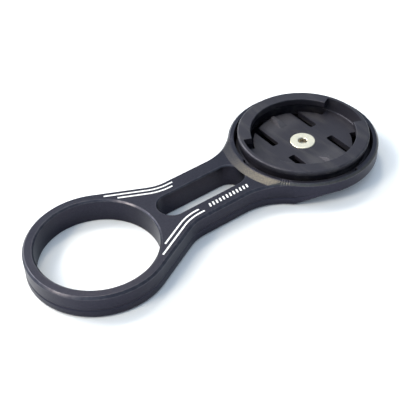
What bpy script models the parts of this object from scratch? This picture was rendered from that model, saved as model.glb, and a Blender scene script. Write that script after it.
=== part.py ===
"""Bicycle computer mount that is clamped under the stem like a headset spacer.

A machined aluminium arm joins a spacer ring, which slides over the steerer tube, to a round
cup.  The cup holds a moulded twist-lock insert, kept in place by one countersunk screw.  The
insert's floor has two spring tongues that click into the computer's foot as it is turned.

Units are metres.  +X runs along the arm from the ring to the cup, +Z is the ring's axis, and
the origin is the centre of the footprint, at the height of the ring's lower face.
"""
import math

import bmesh
import bpy

MM = 0.001
CLEARANCE = 0.3 * MM            # gap kept between pieces that touch on the real object
CIRCLE_STEPS = 96               # facets in the large circles
SMALL_STEPS = 36                # facets in the screw and its holes

# Spacer ring
BORE_RADIUS = 14.3 * MM         # slides over a 28.6 mm (1-1/8 inch) steerer
RING_RADIUS = 16.9 * MM
RING_HEIGHT = 6.4 * MM
BORE_CHAMFER_TOP = 0.35 * MM
BORE_CHAMFER_BOTTOM = 0.2 * MM

# Arm
RING_TO_HEAD = 61.4 * MM        # distance between the two vertical axes
ARM_HALF_WIDTH = 8.1 * MM
FLARE_ANGLE = math.radians(26.5)  # the straight flanks leave the ring at this angle to the arm
FLARE_FILLET = 10.0 * MM
HEAD_FILLET = 15.0 * MM
TOP_CHAMFER = 0.5 * MM
BOTTOM_CHAMFER = 0.5 * MM
SLOT_START = 17.2 * MM          # from the ring's axis
SLOT_END = 41.4 * MM
SLOT_HALF_WIDTH = 3.65 * MM
SLOT_CHAMFER = 0.25 * MM

# Cup at the arm's far end
CUP_RADIUS = 19.0 * MM
CUP_RIM_HEIGHT = 6.9 * MM
CUP_BOTTOM_CHAMFER = 3.4 * MM
CHAMFER_RUN_IN = math.radians(29)  # that chamfer deepens over this turn from the arm
CUP_FLOOR = 2.6 * MM
CAVITY_RADIUS = 17.4 * MM
CAVITY_CHAMFER = 0.2 * MM
SLOPE_BASE_RADIUS = 20.8 * MM   # the arm's top starts rising to the rim here
KEY_WIDTH = 3.4 * MM
KEY_RADIUS = 18.2 * MM
KEY_FLOOR = 4.2 * MM

# Twist-lock insert
INSERT_BASE = CUP_FLOOR + CLEARANCE
FLANGE_RADIUS = 16.95 * MM
FLANGE_TOP = 4.6 * MM
NECK_RADIUS = 16.0 * MM
LIP_RADIUS = 16.6 * MM
LIP_UNDERSIDE = 7.4 * MM        # outside the neck
INSERT_TOP = 8.8 * MM
MOUTH_RADIUS = 13.3 * MM
LOCK_UNDERSIDE = 7.1 * MM       # the computer's tabs turn in below this
LOCK_WALL_RADIUS = 15.2 * MM
INSERT_FLOOR = 5.4 * MM
FLOOR_UNDERSIDE = 3.8 * MM
SKIRT_RADIUS = 14.8 * MM        # inside of the wall below the floor
BOSS_RADIUS = 6.0 * MM
NOTCH_HALF_ANGLE = math.radians(24)
GAP_INNER_RADIUS = 12.5 * MM
GAP_OUTER_RADIUS = 15.0 * MM
LIP_CHAMFER = 0.25 * MM
KEY_TAB_RADIUS = 17.8 * MM

# Spring tongues in the insert's floor
TONGUE_HALF_WIDTH = 5.4 * MM
TONGUE_SLOT_WIDTH = 1.95 * MM
TONGUE_ROOT = 3.45 * MM          # the floor's edge at the tongue's root, from the cup's axis
TONGUE_TIP_RADIUS = 12.3 * MM
TONGUE_UNDERSIDE = 4.2 * MM
RIDGE_START = 7.4 * MM
RIDGE_FULL = 9.6 * MM
RIDGE_HALF_WIDTH = 1.1 * MM
RIDGE_TOP_HALF_WIDTH = 0.45 * MM
RIDGE_HEIGHT = 0.75 * MM

# Countersunk screw
SCREW_HEAD_RADIUS = 3.2 * MM
SCREW_TOP = 5.5 * MM
SCREW_SHANK_RADIUS = 1.5 * MM
SCREW_END = 0.4 * MM
SCREW_EDGE = 0.15 * MM
SOCKET_ACROSS_FLATS = 2.0 * MM
SOCKET_DEPTH = 1.3 * MM

# The footprint is centred on the origin
RING_X = -(RING_TO_HEAD + CUP_RADIUS - RING_RADIUS) / 2
HEAD_X = RING_X + RING_TO_HEAD


def clear_scene():
    for thing in list(bpy.data.objects):
        bpy.data.objects.remove(thing, do_unlink=True)


def make_material(name, colour, roughness, metallic):
    material = bpy.data.materials.new(name)
    material.use_nodes = True
    shader = material.node_tree.nodes["Principled BSDF"]
    shader.inputs["Base Color"].default_value = (*colour, 1.0)
    shader.inputs["Roughness"].default_value = roughness
    shader.inputs["Metallic"].default_value = metallic
    return material


def make_object(name, vertices, faces, location=(0, 0, 0)):
    """Object with a closed mesh whose faces point out."""
    mesh = bpy.data.meshes.new(name)
    work = bmesh.new()
    corners = [work.verts.new(point) for point in vertices]
    for face in faces:
        work.faces.new([corners[index] for index in face])
    bmesh.ops.remove_doubles(work, verts=work.verts, dist=1e-7)
    bmesh.ops.recalc_face_normals(work, faces=work.faces)
    work.to_mesh(mesh)
    work.free()
    piece = bpy.data.objects.new(name, mesh)
    piece.location = location
    bpy.context.collection.objects.link(piece)
    return piece


def finish_piece(piece, material):
    piece.data.materials.append(material)
    piece.data.shade_smooth()
    piece.data.set_sharp_from_angle(angle=math.radians(30))


def combine(piece, other, operation):
    """Cut a hidden helper out of a piece, or join it on."""
    other.hide_render = True
    other.display_type = "WIRE"
    modifier = piece.modifiers.new(other.name, "BOOLEAN")
    modifier.operation = operation
    modifier.solver = "EXACT"
    modifier.object = other


def stack(name, loops, location=(0, 0, 0)):
    """Closed solid through loops of equally many points, with flat ends."""
    count = len(loops[0])
    vertices = [point for loop in loops for point in loop]
    faces = [list(range(count)), list(range(len(vertices) - count, len(vertices)))]
    for level in range(len(loops) - 1):
        start = level * count
        for i in range(count):
            j = (i + 1) % count
            faces.append([start + i, start + j, start + count + j, start + count + i])
    return make_object(name, vertices, faces, location)


def turned(name, profile, steps, location=(0, 0, 0)):
    """Solid turned about Z from a closed outline of (radius, height) points."""
    count = len(profile)
    vertices = []
    for step in range(steps):
        angle = 2 * math.pi * step / steps
        vertices += [(r * math.cos(angle), r * math.sin(angle), z) for r, z in profile]
    faces = []
    for step in range(steps):
        here = step * count
        after = (step + 1) % steps * count
        for i in range(count):
            j = (i + 1) % count
            ring = [here + i, after + i, after + j, here + j]
            if profile[i][0] == 0 and profile[j][0] == 0:
                continue
            if profile[i][0] == 0:
                ring = [here + i, after + j, here + j]
            elif profile[j][0] == 0:
                ring = [here + i, after + i, here + j]
            faces.append(ring)
    return make_object(name, vertices, faces, location)


def sector(name, inner, outer, low, high, start, end, location):
    """Block between two radii and two angles; inner and outer are (at low, at high)."""
    steps = max(2, round((end - start) / (2 * math.pi) * CIRCLE_STEPS))
    loops = []
    for inside, outside, z in ((inner[0], outer[0], low), (inner[1], outer[1], high)):
        angles = [start + (end - start) * i / steps for i in range(steps + 1)]
        loop = [(outside * math.cos(a), outside * math.sin(a), z) for a in angles]
        loop += [(inside * math.cos(a), inside * math.sin(a), z) for a in reversed(angles)]
        loops.append(loop)
    return stack(name, loops, location)


def block(name, x_range, y_range, z_range, location):
    corners = [(x_range[0], y_range[0]), (x_range[1], y_range[0]),
               (x_range[1], y_range[1]), (x_range[0], y_range[1])]
    return stack(name, [[(x, y, z) for x, y in corners] for z in z_range], location)


def arc(centre, radius, start, end, steps):
    """Points of an arc as (x, y, direction away from the arc's centre)."""
    points = []
    for i in range(steps + 1):
        angle = start + (end - start) * i / steps
        away = (math.cos(angle), math.sin(angle))
        points.append((centre[0] + radius * away[0], centre[1] + radius * away[1], away))
    return points


def arm_half_outline():
    """Half of the arm's plan, from behind the ring to the cup's far side.

    Each point is (x, y, outward direction, share of the cup's deep lower chamfer).  The second
    result is the range of points along the fillet on which the top rises to the cup's rim.
    """
    step = 2 * math.pi / CIRCLE_STEPS
    quarter = math.pi / 2
    ring_end = quarter - FLARE_ANGLE
    ring = arc((RING_X, 0), RING_RADIUS, math.pi, ring_end, round((math.pi - ring_end) / step))

    flare_y = ARM_HALF_WIDTH + FLARE_FILLET
    flare_x = (RING_RADIUS + FLARE_FILLET - flare_y * math.cos(FLARE_ANGLE)) / math.sin(FLARE_ANGLE)
    flare = arc((RING_X + flare_x, flare_y), FLARE_FILLET, -quarter - FLARE_ANGLE, -quarter, 6)

    fillet_y = ARM_HALF_WIDTH + HEAD_FILLET
    reach = CUP_RADIUS + HEAD_FILLET
    fillet_x = math.sqrt(reach ** 2 - fillet_y ** 2)
    fillet_centre = (HEAD_X - fillet_x, fillet_y)
    meet = -math.atan2(fillet_y, fillet_x)
    edge = HEAD_FILLET + TOP_CHAMFER
    rise = math.acos((reach ** 2 + edge ** 2 - SLOPE_BASE_RADIUS ** 2) / (2 * reach * edge))
    fillet = arc(fillet_centre, HEAD_FILLET, -quarter, meet - rise, 6)
    slope = arc(fillet_centre, HEAD_FILLET, meet - rise, meet, 6)
    head = arc((HEAD_X, 0), CUP_RADIUS, math.pi + meet, 0, round((math.pi + meet) / step))

    outline = [(x, y, away, 0) for x, y, away in ring]
    concave = flare + fillet[:-1] + slope[:-1]
    outline += [(x, y, (-away[0], -away[1]), 0) for x, y, away in concave]
    rising = (len(outline) - len(slope) + 1, len(outline))
    for i, (x, y, away) in enumerate(head):
        turned_by = (math.pi + meet) * i / (len(head) - 1)
        deepened = min(turned_by / CHAMFER_RUN_IN, 1)
        outline.append((x, y, away, math.sin(quarter * deepened)))
    return outline, rising


def rim_slope(x, y):
    """Height of the top face: level on the arm, sloping up to the cup's rim."""
    distance = math.hypot(x - HEAD_X, y)
    rim_radius = CUP_RADIUS - TOP_CHAMFER
    share = (SLOPE_BASE_RADIUS - distance) / (SLOPE_BASE_RADIUS - rim_radius)
    share = min(max(share, 0), 1)
    return RING_HEIGHT + (CUP_RIM_HEIGHT - RING_HEIGHT) * share


def arm_blank():
    """The arm before its holes are cut: chamfered plan with a sloped rise to the cup's rim."""
    half, (rise_start, rise_end) = arm_half_outline()
    mirrored = [(x, -y, (away[0], -away[1]), cup) for x, y, away, cup in reversed(half[1:-1])]
    outline = half + mirrored
    count = len(outline)
    levels = [[], [], [], []]
    for x, y, away, cup in outline:
        bottom = BOTTOM_CHAMFER + (CUP_BOTTOM_CHAMFER - BOTTOM_CHAMFER) * cup
        top_x = x - away[0] * TOP_CHAMFER
        top_y = y - away[1] * TOP_CHAMFER
        top = rim_slope(top_x, top_y)
        levels[0].append((x - away[0] * bottom, y - away[1] * bottom, 0))
        levels[1].append((x, y, bottom))
        levels[2].append((x, y, top - TOP_CHAMFER))
        levels[3].append((top_x, top_y, top))
    vertices = [point for level in levels for point in level]
    faces = [list(range(count))]
    for level in range(3):
        start = level * count
        for i in range(count):
            j = (i + 1) % count
            faces.append([start + i, start + j, start + count + j, start + count + i])

    # Rows across the arm, from the foot of the slope to the rim
    edge = 3 * count
    cross_steps = 24
    rows = []
    for i in range(rise_start, rise_end + 1):
        x, y, z = levels[3][i]
        radius = math.hypot(x - HEAD_X, y)
        side = math.atan2(y, x - HEAD_X)
        row = [edge + i]
        for k in range(1, cross_steps):
            angle = side + (2 * math.pi - 2 * side) * k / cross_steps
            row.append(len(vertices))
            vertices.append((HEAD_X + radius * math.cos(angle), radius * math.sin(angle), z))
        row.append(edge + (count - i))
        rows.append(row)
    for lower, upper in zip(rows, rows[1:]):
        for k in range(cross_steps):
            faces.append([lower[k], lower[k + 1], upper[k + 1], upper[k]])
    level_part = [edge + i for i in range(count - rise_start, count)]
    level_part += [edge + i for i in range(rise_start + 1)]
    faces.append(level_part + rows[0][1:-1])
    rim_part = [edge + i for i in range(rise_end, count - rise_end + 1)]
    faces.append(rim_part + rows[-1][-2:0:-1])
    return make_object("mount_arm", vertices, faces)


def slot_outline(grow):
    """Round-ended slot along the arm, widened all round by grow."""
    radius = SLOT_HALF_WIDTH + grow
    steps = 16
    quarter = math.pi / 2
    near = (RING_X + SLOT_START + SLOT_HALF_WIDTH, 0)
    far = (RING_X + SLOT_END - SLOT_HALF_WIDTH, 0)
    points = arc(far, radius, -quarter, quarter, steps)
    points += arc(near, radius, quarter, 3 * quarter, steps)
    return [(x, y) for x, y, away in points]


def build_mount_arm(material):
    arm = arm_blank()
    beyond = 1.0 * MM
    top = RING_HEIGHT
    bore = turned("bore_cutter", [
        (0, -beyond),
        (BORE_RADIUS + BORE_CHAMFER_BOTTOM + beyond, -beyond),
        (BORE_RADIUS, BORE_CHAMFER_BOTTOM),
        (BORE_RADIUS, top - BORE_CHAMFER_TOP),
        (BORE_RADIUS + BORE_CHAMFER_TOP + beyond, top + beyond),
        (0, top + beyond),
    ], CIRCLE_STEPS, (RING_X, 0, 0))
    combine(arm, bore, "DIFFERENCE")

    slot_levels = [(SLOT_CHAMFER + beyond, -beyond), (0, SLOT_CHAMFER),
                   (0, top - SLOT_CHAMFER), (SLOT_CHAMFER + beyond, top + beyond)]
    slot = stack("slot_cutter", [[(x, y, z) for x, y in slot_outline(grow)]
                                 for grow, z in slot_levels])
    combine(arm, slot, "DIFFERENCE")

    rim = CUP_RIM_HEIGHT
    cavity = turned("cavity_cutter", [
        (0, CUP_FLOOR),
        (CAVITY_RADIUS, CUP_FLOOR),
        (CAVITY_RADIUS, rim - CAVITY_CHAMFER),
        (CAVITY_RADIUS + CAVITY_CHAMFER + beyond, rim + beyond),
        (0, rim + beyond),
    ], CIRCLE_STEPS, (HEAD_X, 0, 0))
    combine(arm, cavity, "DIFFERENCE")

    for i in range(4):
        pocket = block(f"key_pocket_cutter_{i + 1}", (CAVITY_RADIUS - beyond, KEY_RADIUS),
                       (-KEY_WIDTH / 2, KEY_WIDTH / 2), (KEY_FLOOR, rim + beyond),
                       (HEAD_X, 0, 0))
        pocket.rotation_euler.z = i * math.pi / 2
        combine(arm, pocket, "DIFFERENCE")

    hole_radius = SCREW_SHANK_RADIUS + CLEARANCE
    hole = turned("screw_hole_cutter", [
        (0, -beyond),
        (hole_radius + CAVITY_CHAMFER + beyond, -beyond),
        (hole_radius, CAVITY_CHAMFER),
        (hole_radius, CUP_FLOOR + beyond),
        (0, CUP_FLOOR + beyond),
    ], SMALL_STEPS, (HEAD_X, 0, 0))
    combine(arm, hole, "DIFFERENCE")
    finish_piece(arm, material)


def build_insert(material):
    """Moulded disc: flange in the cup, neck, overhanging lip, floor and centre boss."""
    head = (HEAD_X, 0, 0)
    sink_radius = SCREW_HEAD_RADIUS + CLEARANCE
    hole_radius = SCREW_SHANK_RADIUS + CLEARANCE
    sink_depth = sink_radius - hole_radius
    insert = turned("twist_lock_insert", [
        (FLANGE_RADIUS, INSERT_BASE),
        (FLANGE_RADIUS, FLANGE_TOP),
        (NECK_RADIUS, FLANGE_TOP + CLEARANCE),
        (NECK_RADIUS, LIP_UNDERSIDE),
        (LIP_RADIUS, LIP_UNDERSIDE),
        (LIP_RADIUS, INSERT_TOP - LIP_CHAMFER),
        (LIP_RADIUS - LIP_CHAMFER, INSERT_TOP),
        (MOUTH_RADIUS + LIP_CHAMFER, INSERT_TOP),
        (MOUTH_RADIUS, INSERT_TOP - LIP_CHAMFER),
        (MOUTH_RADIUS, LOCK_UNDERSIDE),
        (LOCK_WALL_RADIUS, LOCK_UNDERSIDE),
        (LOCK_WALL_RADIUS, INSERT_FLOOR),
        (sink_radius, INSERT_FLOOR),
        (hole_radius, INSERT_FLOOR - sink_depth),
        (hole_radius, INSERT_BASE),
        (BOSS_RADIUS, INSERT_BASE),
        (BOSS_RADIUS, FLOOR_UNDERSIDE),
        (SKIRT_RADIUS, FLOOR_UNDERSIDE),
        (SKIRT_RADIUS, INSERT_BASE),
    ], CIRCLE_STEPS, head)

    # Entry notches in the lip, at the two ends of the arm's line; their wall leans outwards
    wall_low = (LOCK_WALL_RADIUS - 0.2 * MM, LOCK_WALL_RADIUS + 0.4 * MM)
    for side, middle in (("front", 0), ("rear", math.pi)):
        notch = sector(f"notch_cutter_{side}", (MOUTH_RADIUS - 1 * MM,) * 2, wall_low,
                       INSERT_FLOOR + 0.4 * MM, INSERT_TOP + 0.4 * MM,
                       middle - NOTCH_HALF_ANGLE, middle + NOTCH_HALF_ANGLE, head)
        combine(insert, notch, "DIFFERENCE")

    # Curved gaps under the locking rims, and the windows that free the tongues
    window_half = TONGUE_HALF_WIDTH + TONGUE_SLOT_WIDTH
    below = FLOOR_UNDERSIDE - 0.5 * MM
    above = INSERT_FLOOR + 0.5 * MM
    for side, turn in (("left", 0), ("right", math.pi)):
        gap = sector(f"gap_cutter_{side}", (GAP_INNER_RADIUS,) * 2, (GAP_OUTER_RADIUS,) * 2,
                     below, above, turn + NOTCH_HALF_ANGLE, turn + math.pi - NOTCH_HALF_ANGLE,
                     head)
        combine(insert, gap, "DIFFERENCE")
        window = block(f"window_cutter_{side}", (-window_half, window_half),
                       (TONGUE_ROOT, GAP_INNER_RADIUS + 0.6 * MM), (INSERT_BASE - 1 * MM, above),
                       head)
        window.rotation_euler.z = turn
        combine(insert, window, "DIFFERENCE")

    # Tabs that key the flange into the cup's pockets
    tab_half = KEY_WIDTH / 2 - CLEARANCE
    for i in range(4):
        tab = block(f"key_tab_{i + 1}", (FLANGE_RADIUS - 0.8 * MM, KEY_TAB_RADIUS),
                    (-tab_half, tab_half), (KEY_FLOOR + CLEARANCE, FLANGE_TOP + 0.8 * MM), head)
        tab.rotation_euler.z = i * math.pi / 2
        combine(insert, tab, "UNION")
    finish_piece(insert, material)


def build_tongue(side, turn, material):
    """Spring tongue with its detent ridge; its empty sits on the bending line at the root."""
    root = TONGUE_ROOT + CLEARANCE
    hinge_y = TONGUE_ROOT + CLEARANCE / 2
    hinge_z = (TONGUE_UNDERSIDE + INSERT_FLOOR) / 2
    pivot = bpy.data.objects.new(f"tongue_hinge_{side}", None)
    pivot.location = (HEAD_X - hinge_y * math.sin(turn), hinge_y * math.cos(turn), hinge_z)
    pivot.rotation_euler.z = turn
    bpy.context.collection.objects.link(pivot)

    half = TONGUE_HALF_WIDTH
    tip_angle = math.asin(half / TONGUE_TIP_RADIUS)
    quarter = math.pi / 2
    tip = arc((0, -hinge_y), TONGUE_TIP_RADIUS, quarter - tip_angle, quarter + tip_angle, 16)
    plan = [(-half, root - hinge_y), (half, root - hinge_y)] + [(x, y) for x, y, away in tip]
    low = TONGUE_UNDERSIDE - hinge_z
    high = INSERT_FLOOR - hinge_z
    tongue = stack(f"detent_tongue_{side}", [[(x, y, low) for x, y in plan],
                                             [(x, y, high) for x, y in plan]])
    tongue.parent = pivot

    ridge_end = math.sqrt(TONGUE_TIP_RADIUS ** 2 - RIDGE_HALF_WIDTH ** 2) - 0.2 * MM
    sunk = high - 0.5 * MM
    loops = []
    for y, height in ((RIDGE_START, 0.02 * MM), (RIDGE_FULL, RIDGE_HEIGHT),
                      (ridge_end, RIDGE_HEIGHT)):
        y -= hinge_y
        loops.append([(-RIDGE_HALF_WIDTH, y, sunk), (RIDGE_HALF_WIDTH, y, sunk),
                      (RIDGE_HALF_WIDTH, y, high), (RIDGE_TOP_HALF_WIDTH, y, high + height),
                      (-RIDGE_TOP_HALF_WIDTH, y, high + height), (-RIDGE_HALF_WIDTH, y, high)])
    ridge = stack(f"ridge_{side}", loops)
    ridge.parent = pivot
    combine(tongue, ridge, "UNION")
    finish_piece(tongue, material)


def build_screw(material):
    """Countersunk machine screw with a hexagon socket."""
    head = (HEAD_X, 0, 0)
    cone_top = SCREW_TOP - 2 * SCREW_EDGE
    cone_bottom = cone_top - (SCREW_HEAD_RADIUS - SCREW_SHANK_RADIUS)
    screw = turned("centre_screw", [
        (0, SCREW_END),
        (SCREW_SHANK_RADIUS - 2 * SCREW_EDGE, SCREW_END),
        (SCREW_SHANK_RADIUS, SCREW_END + 2 * SCREW_EDGE),
        (SCREW_SHANK_RADIUS, cone_bottom),
        (SCREW_HEAD_RADIUS, cone_top),
        (SCREW_HEAD_RADIUS, SCREW_TOP - SCREW_EDGE),
        (SCREW_HEAD_RADIUS - SCREW_EDGE, SCREW_TOP),
        (0, SCREW_TOP),
    ], SMALL_STEPS, head)
    corner = SOCKET_ACROSS_FLATS / math.sqrt(3)
    socket_floor = SCREW_TOP - SOCKET_DEPTH
    hexagon = [(corner * math.cos(i * math.pi / 3), corner * math.sin(i * math.pi / 3))
               for i in range(6)]
    socket = stack("socket_cutter", [[(x, y, z) for x, y in hexagon]
                                     for z in (socket_floor, SCREW_TOP + 1 * MM)], head)
    combine(screw, socket, "DIFFERENCE")
    finish_piece(screw, material)


clear_scene()
anodised = make_material("black_anodised_aluminium", (0.022, 0.022, 0.027), 0.38, 1.0)
moulded = make_material("black_moulded_plastic", (0.030, 0.030, 0.034), 0.50, 0.0)
steel = make_material("bright_steel", (0.72, 0.70, 0.62), 0.32, 1.0)
build_mount_arm(anodised)
build_insert(moulded)
for tongue_side, tongue_turn in (("left", 0), ("right", math.pi)):
    build_tongue(tongue_side, tongue_turn, moulded)
build_screw(steel)
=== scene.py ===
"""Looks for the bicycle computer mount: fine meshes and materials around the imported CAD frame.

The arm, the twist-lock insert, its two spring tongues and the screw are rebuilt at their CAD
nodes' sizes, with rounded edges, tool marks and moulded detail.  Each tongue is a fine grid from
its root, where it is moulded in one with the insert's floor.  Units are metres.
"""
import math

import bmesh
import bpy
from mathutils import Matrix, Vector


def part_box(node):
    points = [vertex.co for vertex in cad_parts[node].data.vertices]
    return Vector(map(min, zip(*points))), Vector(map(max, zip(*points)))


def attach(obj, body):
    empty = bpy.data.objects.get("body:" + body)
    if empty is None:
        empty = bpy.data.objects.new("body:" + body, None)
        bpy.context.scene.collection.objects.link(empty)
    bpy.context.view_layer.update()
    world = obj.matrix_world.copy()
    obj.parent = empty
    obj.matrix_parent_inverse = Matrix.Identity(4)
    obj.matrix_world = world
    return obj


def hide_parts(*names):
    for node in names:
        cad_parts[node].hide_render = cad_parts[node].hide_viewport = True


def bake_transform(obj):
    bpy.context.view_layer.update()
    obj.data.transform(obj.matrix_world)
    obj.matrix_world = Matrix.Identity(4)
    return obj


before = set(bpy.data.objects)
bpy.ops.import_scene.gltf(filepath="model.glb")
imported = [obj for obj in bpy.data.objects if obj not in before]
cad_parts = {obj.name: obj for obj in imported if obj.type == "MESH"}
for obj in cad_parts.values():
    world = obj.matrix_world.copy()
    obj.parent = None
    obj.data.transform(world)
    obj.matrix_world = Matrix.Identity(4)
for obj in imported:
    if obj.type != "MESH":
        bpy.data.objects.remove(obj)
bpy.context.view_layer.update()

MM = 0.001
TURN = 2 * math.pi
QUARTER_TURN = math.pi / 2

# Fineness of the meshes
CIRCLE_STEPS = 240              # facets in the large circles
HOLE_STEPS = 72
SCREW_STEPS = 120
LEAD_IN_STEPS = 60
FLARE_STEPS = 16
FILLET_STEPS = 14
SLOPE_STEPS = 72                # along the fillet, where the top rises to the cup's rim
SLOPE_END_COLUMNS = 60          # across the slope, at each of its scalloped ends
SLOPE_MIDDLE_COLUMNS = 40
ROUND_STEPS = 4                 # facets across a rounded corner
WITNESS_STEPS = 4               # facets across half of the witness line
PIN_LINE_STEPS = 12
TONGUE_COLUMNS = 44
TONGUE_ROWS = 28
GRID_SHIFT = 0.37               # keeps the facets of turned pieces off the cutters' own
WELD = 0.0005                   # millimetres
SAME_POINT = 1e-8
MERGE = 1e-7
SOFTEN_ANGLE = math.radians(35)         # cut edges steeper than this are bevelled
SMOOTH_ANGLE = math.radians(38)         # edges flatter than this are shaded smooth

# Spacer ring and arm, as in the CAD
BORE_RADIUS = 14.3 * MM
RING_RADIUS = 16.9 * MM
RING_HEIGHT = 6.4 * MM          # the arm's too
ARM_HALF_WIDTH = 8.1 * MM
FLARE_ANGLE = math.radians(26.5)
FLARE_FILLET = 10.0 * MM
HEAD_FILLET = 15.0 * MM
TOP_CHAMFER = 0.5 * MM
BOTTOM_CHAMFER = 0.5 * MM
BORE_CHAMFER_TOP = 0.35 * MM
BORE_CHAMFER_BOTTOM = 0.2 * MM
SLOT_START = 17.2 * MM
SLOT_END = 41.4 * MM
SLOT_HALF_WIDTH = 3.65 * MM
SLOT_CHAMFER = 0.25 * MM
EDGE_ROUND = 0.16 * MM          # tumbled radius on the arm's edges
HOLE_ROUND_SHARE = 0.4          # the same in a hole, as a share of its smaller chamfer
GUARD = 0.3 * MM                # edge wear fades out over this distance
TOP_GUARD = 0.12 * MM           # the same on top, where the rim is narrow
TOP_INSET = TOP_CHAMFER + TOP_GUARD
WITNESS_HEIGHT = 2.4 * MM       # line round the flank where the two milling set-ups meet
WITNESS_DEPTH = 0.18 * MM
WITNESS_HALF = 0.42 * MM
WITNESS_CUP_DROP = 0.6          # share of its height above the chamfer that it loses at the cup

# Cup
CUP_RADIUS = 19.0 * MM
CUP_BOTTOM_CHAMFER = 3.4 * MM
CHAMFER_RUN_IN = math.radians(29)       # the chamfer deepens over this angle from the arm
CUP_FLOOR = 2.6 * MM
CAVITY_RADIUS = 17.4 * MM
CAVITY_CHAMFER = 0.2 * MM
CAVITY_ROUND = 0.06 * MM
CAVITY_GUARD = 0.1 * MM
SLOPE_BASE_RADIUS = 20.8 * MM
KEY_WIDTH = 3.4 * MM
KEY_RADIUS = 18.2 * MM
KEY_FLOOR = 4.2 * MM
KEY_CORNER = 0.45 * MM
KEY_GROWTH_LIMIT = 0.04 * MM    # a pocket's end chamfer stays inside the narrow rim
SCREW_HOLE_RADIUS = 1.8 * MM

# Scallops left by the cutter at both ends of the slope up to the cup's rim
SCALLOP_PITCH = 0.62 * MM
SCALLOP_DEPTH = 0.10 * MM
SCALLOP_MIDDLE = math.radians(35.5)     # from the arm's line, about the cup's axis
SCALLOP_HALF_SPAN = math.radians(5.2)
SCALLOP_REACH = 5.4 * MM        # the slope's fine columns cover this much of each end

# Twist-lock insert
INSERT_BASE = 2.9 * MM
FLANGE_RADIUS = 16.95 * MM
FLANGE_TOP = 4.6 * MM
FLANGE_RISE = 0.3 * MM          # the flange's top is slightly conical
NECK_RADIUS = 16.0 * MM
LIP_RADIUS = 16.6 * MM
LIP_UNDERSIDE = 7.4 * MM
MOUTH_RADIUS = 13.3 * MM
LOCK_UNDERSIDE = 7.1 * MM
LOCK_WALL_RADIUS = 15.2 * MM
INSERT_FLOOR = 5.4 * MM
FLOOR_UNDERSIDE = 3.8 * MM
SKIRT_RADIUS = 14.8 * MM
BOSS_RADIUS = 6.0 * MM
NOTCH_HALF_ANGLE = math.radians(24)
GAP_INNER_RADIUS = 12.5 * MM
GAP_OUTER_RADIUS = 15.0 * MM
NOTCH_CLEARANCE = 0.03 * MM     # the notches' outer walls lie just outside the turned wall
NOTCH_DRAFT = 0.4 * MM          # and slope out by this much
KEY_TAB_RADIUS = 17.8 * MM
KEY_CLEARANCE = 0.3 * MM
TAB_OVERLAP = 0.8 * MM          # how far a key reaches into the flange, and rises above it
MOULD_ROUND = 0.22 * MM         # radius on the moulding's turned edges
SMALL_ROUND = 0.1 * MM
LIP_ROUND = 0.42 * MM
WALL_GUARD = 0.35 * MM          # narrow flat rows at the floor's edges keep its shading even
SINK_GUARD = 0.25 * MM
SOFTENED = 0.08 * MM            # width of the bevel on the moulding's cut edges
OVERCUT = 0.5 * MM              # how far a cutter stands clear of what it cuts

# Spring tongues
TONGUE_HALF_WIDTH = 5.4 * MM
TONGUE_SLOT_WIDTH = 1.95 * MM
TONGUE_ROOT = 3.45 * MM
TONGUE_SLOT_START = 2.85 * MM   # the slots beside a tongue begin a little before its root
TONGUE_SLOT_CORNER = 0.4 * MM
TONGUE_TIP_RADIUS = 12.3 * MM
TONGUE_UNDERSIDE = 4.2 * MM
WINDOW_OVERLAP = 0.6 * MM       # the window runs this far into the gap beyond the tip
RIDGE_START = 7.4 * MM
RIDGE_FULL = 9.6 * MM
RIDGE_HALF_WIDTH = 1.1 * MM
RIDGE_TOP_HALF_WIDTH = 0.45 * MM
RIDGE_END = TONGUE_TIP_RADIUS - 0.25 * MM
RIDGE_LEAD = 0.02 * MM          # height at its start
RIDGE_HEIGHT = 0.75 * MM
RIDGE_SINK = 0.2 * MM           # depth of its foot in the tongue
RIDGE_ROUND = 0.1 * MM

# Screw
SCREW_HEAD_RADIUS = 3.2 * MM
SCREW_HEAD_BAND = 0.3 * MM      # height of the head's rim above its cone
SCREW_HEAD_ROUND = 0.18 * MM
SCREW_CLEARANCE = 0.12 * MM     # round the head in the insert's countersink
SCREW_SHANK_RADIUS = 1.5 * MM
SCREW_END = 0.4 * MM
SCREW_END_CHAMFER = 0.3 * MM
SOCKET_ACROSS_FLATS = 2.0 * MM
SOCKET_DEPTH = 1.3 * MM
SOCKET_POINT = 0.35 * MM        # depth of the drill's point below the socket
SOCKET_POINT_SHARE = 0.2        # the point's end, as a share of the socket's radius
SOCKET_LEAD_IN = 0.25 * MM

# Plain accent lines: pin lines as (inset, start along the flare, run-out), and a row of ticks
LINE_WIDTH = 0.42 * MM
LINE_RISE = 0.012 * MM
LINE_SINK = 0.06 * MM
PIN_LINES = ((1.55 * MM, 3.0 * MM, 1.4 * MM), (2.75 * MM, 6.2 * MM, 0.6 * MM))
TICK_COUNT = 12
TICK_PITCH = 1.0 * MM
TICK_START = 27.6 * MM          # from the ring's axis
TICK_OFFSET = 5.75 * MM         # from the arm's middle
TICK_HEIGHT = 1.15 * MM
TICK_SLANT = 0.35 * MM

# Fine lines in the materials
BORE_LINE_PITCH = 0.22 * MM
SLOPE_LINE_PITCH = 0.15 * MM
SCREW_LINE_PITCH = 0.11 * MM
HATCH_PITCH = 0.09 * MM

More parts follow.
